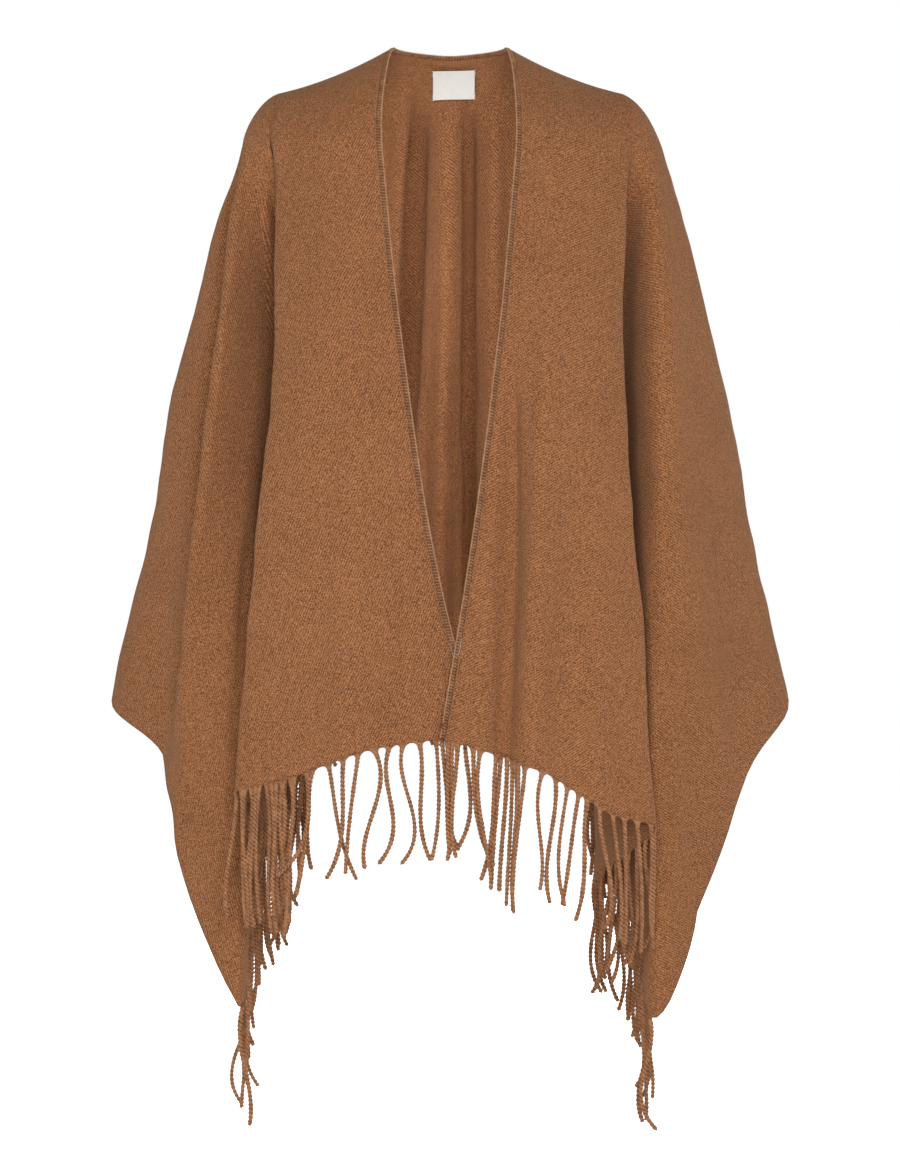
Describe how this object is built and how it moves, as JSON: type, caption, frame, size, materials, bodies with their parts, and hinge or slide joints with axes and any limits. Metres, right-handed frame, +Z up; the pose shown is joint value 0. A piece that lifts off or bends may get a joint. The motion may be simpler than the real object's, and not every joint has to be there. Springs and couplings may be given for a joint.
{
  "type": "fringed poncho",
  "caption": "Open-front poncho cut from one rectangle of brushed twill, worn over the shoulders, with overlocked front edges and twisted cord fringe on the hems.",
  "frame": {"origin": "midway between the two neck corners, at the height where the wearer's shoulders carry the cloth", "axes": "+Z up, -Y the way the wearer faces, +X to the right as seen from the front (the wearer's left)"},
  "size_m": [0.7105, 0.3778, 1.1206],
  "materials": {
    "cloth": "brushed twill, matt with a short nap",
    "edging": "overlock stitching, matt",
    "label": "woven satin",
    "fringe": "two-ply twisted cords, fuzzy"
  },
  "bodies": {
    "root": {"cloth": "cloth", "edging": "edging", "label": "label", "fringe_front_left": "fringe", "fringe_front_right": "fringe", "fringe_back": "fringe"}
  },
  "joints": []
}
